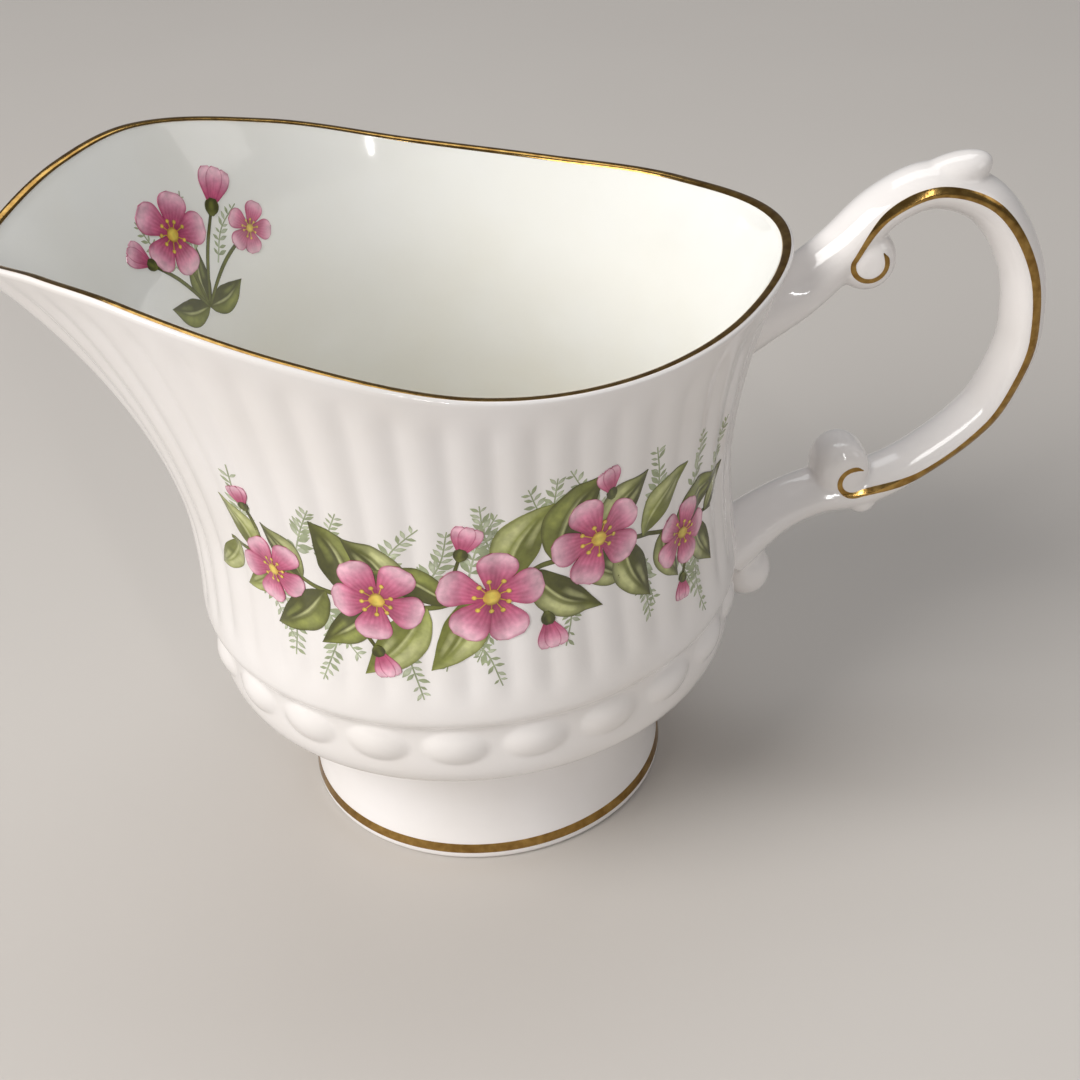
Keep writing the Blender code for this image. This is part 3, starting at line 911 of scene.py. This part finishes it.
def garland_leaves(films, rng):
    keys = [garland_at(share)[0] for share in np.linspace(0.0, 1.0, 13)]
    stem(films, keys, 0.4)
    for index in range(GARLAND_LEAVES):
        share = middle_share(index, GARLAND_LEAVES)
        point, heading = garland_at(share)
        hand = 1 if index % 2 else -1
        outward = heading if share > 0.5 else heading + 180
        turn = hand if share > 0.5 else -hand
        heading = outward + turn * rng.uniform(*LEAF_SPREAD)
        length = rng.uniform(*LEAF_LENGTH) * fullness(share)
        tones = rng.choice(LEAF_TONES)
        leaf(films, point, point + direction(heading) * length, length * rng.uniform(*LEAF_SLIMNESS),
             turn * rng.uniform(0.04, 0.12), turn, tones, 0.045 + 0.003 * index)


def garland_flowers(films, rng):
    for index in range(GARLAND_BUDS):
        share = middle_share(index, GARLAND_BUDS)
        point, _ = garland_at(share)
        heading = (-90 if index % 2 else 90) + rng.uniform(-25, 25)
        end = point + direction(heading) * BUD_STALK
        stem(films, (point, (point + end) / 2 + rng.uniform(-0.6, 0.6), end), 0.28, 0.05)
        bud(films, end, BUD_SIZE * fullness(share), heading, 0.12)
    for index in range(BLOSSOMS):
        share = middle_share(index, BLOSSOMS)
        point, _ = garland_at(share)
        raised = point + (0.0, BLOSSOM_SWING if index % 2 else -BLOSSOM_SWING)
        blossom(films, raised, BLOSSOM_SIZE * fullness(share), rng.uniform(0, 360), rng, 0.13)


def inside_spray(films, rng):
    """A small bunch: leaves at its foot, and stalks that end in an open flower or a bud by turns."""
    foot = np.array(SPRAY_FOOT)
    for index, heading in enumerate((112, 78, 44)):
        start = foot + direction(heading) * 7.0
        fern(films, start, start + direction(heading) * 9.5, 0.1, 8, 300 + index)
    for hand, heading in ((1, 160), (-1, 8), (1, 76)):
        leaf(films, foot, foot + direction(heading) * 8.5, 2.1, 0.1 * hand, hand)
    for index, (heading, length, size) in enumerate(SPRAY_STALKS):
        end = foot + direction(heading) * length
        stem(films, (foot, (foot + end) / 2 + (0.0, 0.8), end), 0.32, 0.05)
        if index % 2:
            blossom(films, end, size, rng.uniform(0, 360), rng, 0.1)
        else:
            bud(films, end, size * 1.2, heading, 0.1)


def make_print():
    finish = enamel()
    layers = (("sprigs", garland_sprigs), ("leaves", garland_leaves), ("flowers", garland_flowers))
    for seed, (side, surface) in enumerate((("front", on_front), ("back", on_back))):
        for name, draw in layers:
            films = Films(f"print_{side}_{name}", surface)
            draw(films, random.Random(f"{name} {seed}"))
            films.make(finish)
    inside = Films("print_inside_spray", on_inside)
    inside_spray(inside, random.Random("inside"))
    inside.make(finish)


# --- stage ----------------------------------------------------------------------------------------
CAMERA_PLACE = (-25.8, -229.9, 195.6)
CAMERA_TURN = math.radians(-5.98)      # round the jug, from straight in front
CAMERA_DOWN = math.radians(34.47)
CAMERA_ROLL = math.radians(-4.25)
LENS = 62.95
FLOOR_HALF = 2.0                       # metres


def make_camera():
    back = Vector((math.sin(CAMERA_TURN) * math.cos(CAMERA_DOWN),
                   -math.cos(CAMERA_TURN) * math.cos(CAMERA_DOWN), math.sin(CAMERA_DOWN)))
    right = Vector((math.cos(CAMERA_TURN), math.sin(CAMERA_TURN), 0.0))
    up = back.cross(right)
    rolled_right = right * math.cos(CAMERA_ROLL) + up * math.sin(CAMERA_ROLL)
    rolled_up = up * math.cos(CAMERA_ROLL) - right * math.sin(CAMERA_ROLL)
    data = bpy.data.cameras.new("camera")
    data.lens = LENS
    data.sensor_width = 36.0
    data.clip_start = 0.01
    camera = bpy.data.objects.new("camera", data)
    turn = Matrix((rolled_right, rolled_up, back)).transposed().to_4x4()
    camera.matrix_world = Matrix.Translation(Vector(CAMERA_PLACE) * MM) @ turn
    bpy.context.scene.collection.objects.link(camera)
    bpy.context.scene.camera = camera


def make_light(name, place, target, size, power, colour=(1.0, 1.0, 1.0)):
    data = bpy.data.lights.new(name, "AREA")
    data.shape = "RECTANGLE"
    data.size, data.size_y = size
    data.energy = power
    data.color = colour
    lamp = bpy.data.objects.new(name, data)
    lamp.location = place
    lamp.rotation_euler = (Vector(target) - Vector(place)).to_track_quat("-Z", "Y").to_euler()
    bpy.context.scene.collection.objects.link(lamp)


def make_stage():
    mesh = bpy.data.meshes.new("floor")
    corners = [(x * FLOOR_HALF, y * FLOOR_HALF, 0) for x, y in ((-1, -1), (1, -1), (1, 1), (-1, 1))]
    mesh.from_pydata(corners, [], [(0, 1, 2, 3)])
    floor = bpy.data.objects.new("floor", mesh)
    mesh.materials.append(pale_floor())
    bpy.context.scene.collection.objects.link(floor)
    low, high = CAD_BOX
    centre = (low + high) / 2
    make_light("window", (-0.75, -0.35, 0.7), centre, (0.7, 0.7), 11.0, (1.0, 0.985, 0.965))
    make_light("sky", (0.1, 0.35, 1.0), centre, (0.9, 0.5), 3.1, (0.96, 0.98, 1.0))
    make_light("fill", (0.9, -0.5, 0.45), centre, (0.4, 0.4), 0.6, (1.0, 0.96, 0.93))
    make_light("pane", (0.22, -0.9, 0.42), centre, (0.035, 0.6), 1.5)
    world = bpy.data.worlds.new("room")
    world.use_nodes = True
    world.node_tree.nodes["Background"].inputs["Color"].default_value = (0.80, 0.80, 0.82, 1.0)
    world.node_tree.nodes["Background"].inputs["Strength"].default_value = 0.22
    bpy.context.scene.world = world
    bpy.context.scene.view_settings.view_transform = "Standard"


def main():
    make_camera()
    make_stage()
    outside = porcelain_outside()
    gold = worn_gold()
    make_bowl(outside, porcelain_inside())
    make_foot(outside)
    handle = make_handle(outside)
    make_rim_gold(gold)
    make_foot_gold(gold)
    make_handle_gold("handle_gold_front", "handle_gilding_front", -1, handle, gold)
    make_handle_gold("handle_gold_back", "handle_gilding_back", 1, handle, gold)
    make_print()


main()
